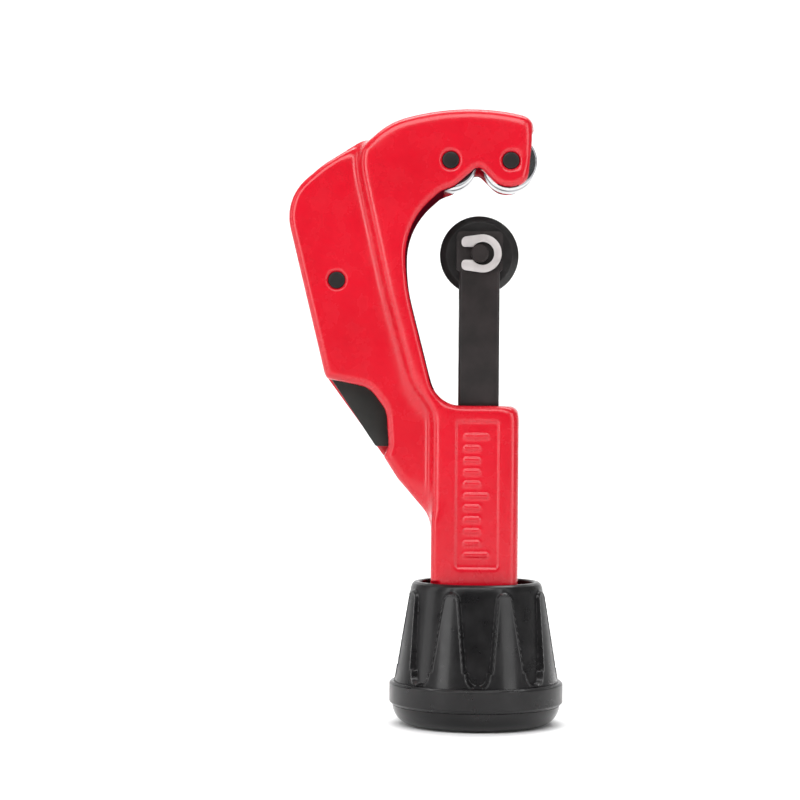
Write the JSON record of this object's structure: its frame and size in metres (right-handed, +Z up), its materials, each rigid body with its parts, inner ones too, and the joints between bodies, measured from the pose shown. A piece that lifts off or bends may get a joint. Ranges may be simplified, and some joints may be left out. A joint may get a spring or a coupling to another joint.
{
  "type": "tube cutter",
  "caption": "Hand tube cutter: a C frame with rollers, a sliding cutter wheel fed by a screw inside the housing, a folding reamer and a ribbed conical knob.",
  "frame": {"origin": "centre of the flat foot of the knob, on the axis of the feed screw", "axes": "+Z up the feed screw towards the rollers, +X out of the open side of the C frame, +Y towards the back face (the one with the head of the wheel pin); the clip and the sunk panel face -Y"},
  "size_m": [0.0662, 0.0416, 0.1465],
  "materials": {
    "red_enamel": "glossy",
    "polished_steel": "polished",
    "black_pin": "black oxide, satin",
    "black_bar": "black oxide, satin",
    "wheel_steel": "black oxide, ground edge",
    "clip_steel": "bright zinc",
    "blade_steel": "blackened",
    "plain_steel": "turned",
    "bush_bronze": "sintered",
    "white_nylon": "matt",
    "knob_plastic": "semi-gloss moulded",
    "cap_plastic": "glossy moulded"
  },
  "bodies": {
    "frame": {"frame_casting": "red_enamel", "inner_roller_pin": "black_pin", "outer_roller_pin": "black_pin", "reamer_pin": "black_pin", "reamer_washer": "plain_steel", "journal_bush": "bush_bronze", "thrust_washer": "plain_steel"},
    "knob": {"knob": "knob_plastic", "knob_cap": "cap_plastic", "feed_screw": "plain_steel", "lock_nut": "plain_steel", "nut_washer": "plain_steel", "knob_washer": "white_nylon"},
    "slide": {"slide_bar": "black_bar", "wheel_pin": "black_bar", "pin_clip": "clip_steel"},
    "wheel": {"cutter_wheel": "wheel_steel"},
    "inner_roller": {"inner_roller": "polished_steel"},
    "outer_roller": {"outer_roller": "polished_steel"},
    "reamer": {"reamer_blade": "blade_steel"}
  },
  "joints": [
    {"name": "knob_turn", "type": "hinge", "parent": "frame", "child": "knob", "pos_m": [0, 0, 0], "axis": [0, 0, 1], "range_deg": [-5760, 1800]},
    {"name": "slide_feed", "type": "slide", "parent": "frame", "child": "slide", "axis": [0, 0, 1], "range_m": [-0.024, 0.0075]},
    {"name": "wheel_spin", "type": "hinge", "parent": "slide", "child": "wheel", "pos_m": [0, 0, 0.1123], "axis": [0, 1, 0], "continuous": true},
    {"name": "inner_roller_spin", "type": "hinge", "parent": "frame", "child": "inner_roller", "pos_m": [-0.0071, 0, 0.1341], "axis": [0, 1, 0], "continuous": true},
    {"name": "outer_roller_spin", "type": "hinge", "parent": "frame", "child": "outer_roller", "pos_m": [0.0071, 0, 0.1341], "axis": [0, 1, 0], "continuous": true},
    {"name": "reamer_fold", "type": "hinge", "parent": "frame", "child": "reamer", "pos_m": [-0.03394, 0, 0.1058], "axis": [0, 1, 0], "range_deg": [0, 110]}
  ],
  "couplings": [
    {"joint": "slide_feed", "follows": "knob_turn", "m_per_rad": 0.00023873}
  ]
}
